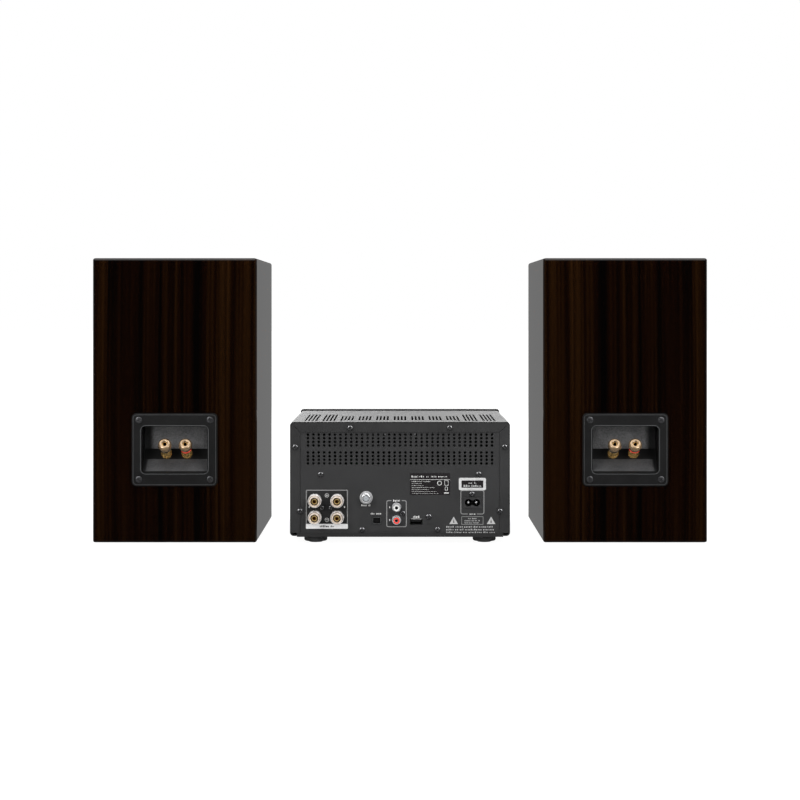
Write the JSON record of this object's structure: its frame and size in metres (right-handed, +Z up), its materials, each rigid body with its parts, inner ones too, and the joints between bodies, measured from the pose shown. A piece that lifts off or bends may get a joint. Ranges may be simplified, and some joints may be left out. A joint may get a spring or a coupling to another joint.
{
  "type": "mini hifi system",
  "caption": "Compact CD receiver with sliding disc tray, knob, buttons and rear binding posts, between wooden bookshelf speakers with recessed terminal cups.",
  "frame": {"origin": "on the standing surface, under the centre of the system's box", "axes": "+Z up, the front faces -Y, the connectors face +Y, +X is to the right seen from the front"},
  "size_m": [0.674, 0.2996, 0.312],
  "materials": {
    "zinc_steel": "zinc-plated, satin",
    "grey_panel": "matte dark grey paint",
    "cover_paint": "fine-textured satin black paint",
    "front_black": "satin black, finely brushed",
    "foot_plastic": "matte, with a soft pad",
    "dark_screws": "blackened steel",
    "window": "smoked, glossy",
    "circuit_board": "green solder mask, with components",
    "transformer": "varnished tape over copper",
    "heatsink": "extruded, satin",
    "socket_plastic": "moulded, satin",
    "nickel": "nickel-plated",
    "gold": "gold-plated, polished",
    "clear_cap": "clear over plated metal",
    "knob_metal": "turned, satin anodised",
    "button_metal": "satin anodised",
    "loader_plastic": "moulded, matte",
    "tray_plastic": "moulded, fine texture",
    "gear_plastic": "acetal, satin",
    "veneer": "dark striped veneer under high-gloss lacquer",
    "baffle_black": "satin-gloss black lacquer",
    "cast_frame": "cast, satin black",
    "cone": "woven fibre, satin",
    "rubber": "butyl, matte",
    "tweeter_black": "satin, with a coated dome",
    "port_plastic": "moulded, matte",
    "cup_plastic": "moulded, fine grain",
    "bronze_cap": "clear over gold-plated metal"
  },
  "bodies": {
    "receiver": {"chassis_base": "zinc_steel", "rear_panel": "grey_panel", "top_cover": "cover_paint", "front_panel": "front_black", "feet": "foot_plastic", "case_screws": "dark_screws", "display_window": "window", "main_board": "circuit_board", "power_transformer": "transformer", "heatsink": "heatsink", "control_board": "circuit_board", "mains_inlet": "socket_plastic", "antenna_socket": "nickel", "optical_socket": "socket_plastic", "rca_sockets": "nickel", "usb_socket": "nickel", "terminal_block": "socket_plastic", "terminal_studs": "gold", "cd_loader_frame": "loader_plastic"},
    "tray": {"cd_tray": "tray_plastic", "tray_door": "front_black"},
    "tray_gear": {"tray_gear": "gear_plastic"},
    "disc_spindle": {"disc_spindle": "loader_plastic"},
    "pickup_sled": {"pickup_sled": "loader_plastic"},
    "volume_knob": {"volume_knob": "knob_metal"},
    "power_button": {"power_button": "button_metal"},
    "eject_button": {"eject_button": "button_metal"},
    "play_button": {"play_button": "button_metal"},
    "previous_button": {"previous_button": "button_metal"},
    "next_button": {"next_button": "button_metal"},
    "terminal_cap_1": {"terminal_cap_1": "clear_cap"},
    "terminal_cap_2": {"terminal_cap_2": "clear_cap"},
    "terminal_cap_3": {"terminal_cap_3": "clear_cap"},
    "terminal_cap_4": {"terminal_cap_4": "clear_cap"},
    "left_speaker": {"left_cabinet": "veneer", "left_baffle": "baffle_black", "left_woofer_frame": "cast_frame", "left_woofer_surround": "rubber", "left_tweeter": "tweeter_black", "left_port_tube": "port_plastic", "left_terminal_cup": "cup_plastic", "left_crossover": "circuit_board", "left_post_studs": "gold", "left_screws": "dark_screws"},
    "left_woofer_cone": {"left_woofer_cone": "cone"},
    "left_post_cap_red": {"left_post_cap_red": "bronze_cap"},
    "left_post_cap_black": {"left_post_cap_black": "bronze_cap"},
    "right_speaker": {"right_cabinet": "veneer", "right_baffle": "baffle_black", "right_woofer_frame": "cast_frame", "right_woofer_surround": "rubber", "right_tweeter": "tweeter_black", "right_port_tube": "port_plastic", "right_terminal_cup": "cup_plastic", "right_crossover": "circuit_board", "right_post_studs": "gold", "right_screws": "dark_screws"},
    "right_woofer_cone": {"right_woofer_cone": "cone"},
    "right_post_cap_red": {"right_post_cap_red": "bronze_cap"},
    "right_post_cap_black": {"right_post_cap_black": "bronze_cap"}
  },
  "joints": [
    {"name": "tray_slide", "type": "slide", "parent": "receiver", "child": "tray", "axis": [0, -1, 0], "range_m": [0, 0.13]},
    {"name": "tray_gear_turn", "type": "hinge", "parent": "receiver", "child": "tray_gear", "pos_m": [0.048, -0.09395, 0.1044], "axis": [0, 0, 1], "range_deg": [0, 940]},
    {"name": "disc_spindle_spin", "type": "hinge", "parent": "receiver", "child": "disc_spindle", "pos_m": [0, -0.05745, 0.11], "axis": [0, 0, 1], "continuous": true},
    {"name": "pickup_slide", "type": "slide", "parent": "receiver", "child": "pickup_sled", "axis": [0, 1, 0], "range_m": [0, 0.035]},
    {"name": "volume_turn", "type": "hinge", "parent": "receiver", "child": "volume_knob", "pos_m": [0.092, -0.12696, 0.076], "axis": [0, -1, 0], "range_deg": [-150, 150]},
    {"name": "power_button_press", "type": "slide", "parent": "receiver", "child": "power_button", "axis": [0, 1, 0], "range_m": [0, 0.0008], "stiffness_N_per_m": 600, "springref_m": -0.0008},
    {"name": "eject_button_press", "type": "slide", "parent": "receiver", "child": "eject_button", "axis": [0, 1, 0], "range_m": [0, 0.0008], "stiffness_N_per_m": 600, "springref_m": -0.0008},
    {"name": "play_button_press", "type": "slide", "parent": "receiver", "child": "play_button", "axis": [0, 1, 0], "range_m": [0, 0.0008], "stiffness_N_per_m": 600, "springref_m": -0.0008},
    {"name": "previous_button_press", "type": "slide", "parent": "receiver", "child": "previous_button", "axis": [0, 1, 0], "range_m": [0, 0.0008], "stiffness_N_per_m": 600, "springref_m": -0.0008},
    {"name": "next_button_press", "type": "slide", "parent": "receiver", "child": "next_button", "axis": [0, 1, 0], "range_m": [0, 0.0008], "stiffness_N_per_m": 600, "springref_m": -0.0008},
    {"name": "terminal_cap_1_unscrew", "type": "slide", "parent": "receiver", "child": "terminal_cap_1", "axis": [0, 1, 0], "range_m": [0, 0.004]},
    {"name": "terminal_cap_2_unscrew", "type": "slide", "parent": "receiver", "child": "terminal_cap_2", "axis": [0, 1, 0], "range_m": [0, 0.004]},
    {"name": "terminal_cap_3_unscrew", "type": "slide", "parent": "receiver", "child": "terminal_cap_3", "axis": [0, 1, 0], "range_m": [0, 0.004]},
    {"name": "terminal_cap_4_unscrew", "type": "slide", "parent": "receiver", "child": "terminal_cap_4", "axis": [0, 1, 0], "range_m": [0, 0.004]},
    {"name": "left_speaker_place", "type": "slide", "parent": "receiver", "child": "left_speaker", "axis": [-1, 0, 0], "range_m": [-0.03, 0.15]},
    {"name": "left_woofer_stroke", "type": "slide", "parent": "left_speaker", "child": "left_woofer_cone", "axis": [0, -1, 0], "range_m": [-0.003, 0.003], "stiffness_N_per_m": 1200},
    {"name": "left_cap_red_unscrew", "type": "slide", "parent": "left_speaker", "child": "left_post_cap_red", "axis": [0, 0.866, 0.5], "range_m": [0, 0.004]},
    {"name": "left_cap_black_unscrew", "type": "slide", "parent": "left_speaker", "child": "left_post_cap_black", "axis": [0, 0.866, 0.5], "range_m": [0, 0.004]},
    {"name": "right_speaker_place", "type": "slide", "parent": "receiver", "child": "right_speaker", "axis": [1, 0, 0], "range_m": [-0.03, 0.15]},
    {"name": "right_woofer_stroke", "type": "slide", "parent": "right_speaker", "child": "right_woofer_cone", "axis": [0, -1, 0], "range_m": [-0.003, 0.003], "stiffness_N_per_m": 1200},
    {"name": "right_cap_red_unscrew", "type": "slide", "parent": "right_speaker", "child": "right_post_cap_red", "axis": [0, 0.866, 0.5], "range_m": [0, 0.004]},
    {"name": "right_cap_black_unscrew", "type": "slide", "parent": "right_speaker", "child": "right_post_cap_black", "axis": [0, 0.866, 0.5], "range_m": [0, 0.004]}
  ],
  "couplings": [
    {"joint": "tray_gear_turn", "follows": "tray_slide", "rad_per_m": 125}
  ]
}
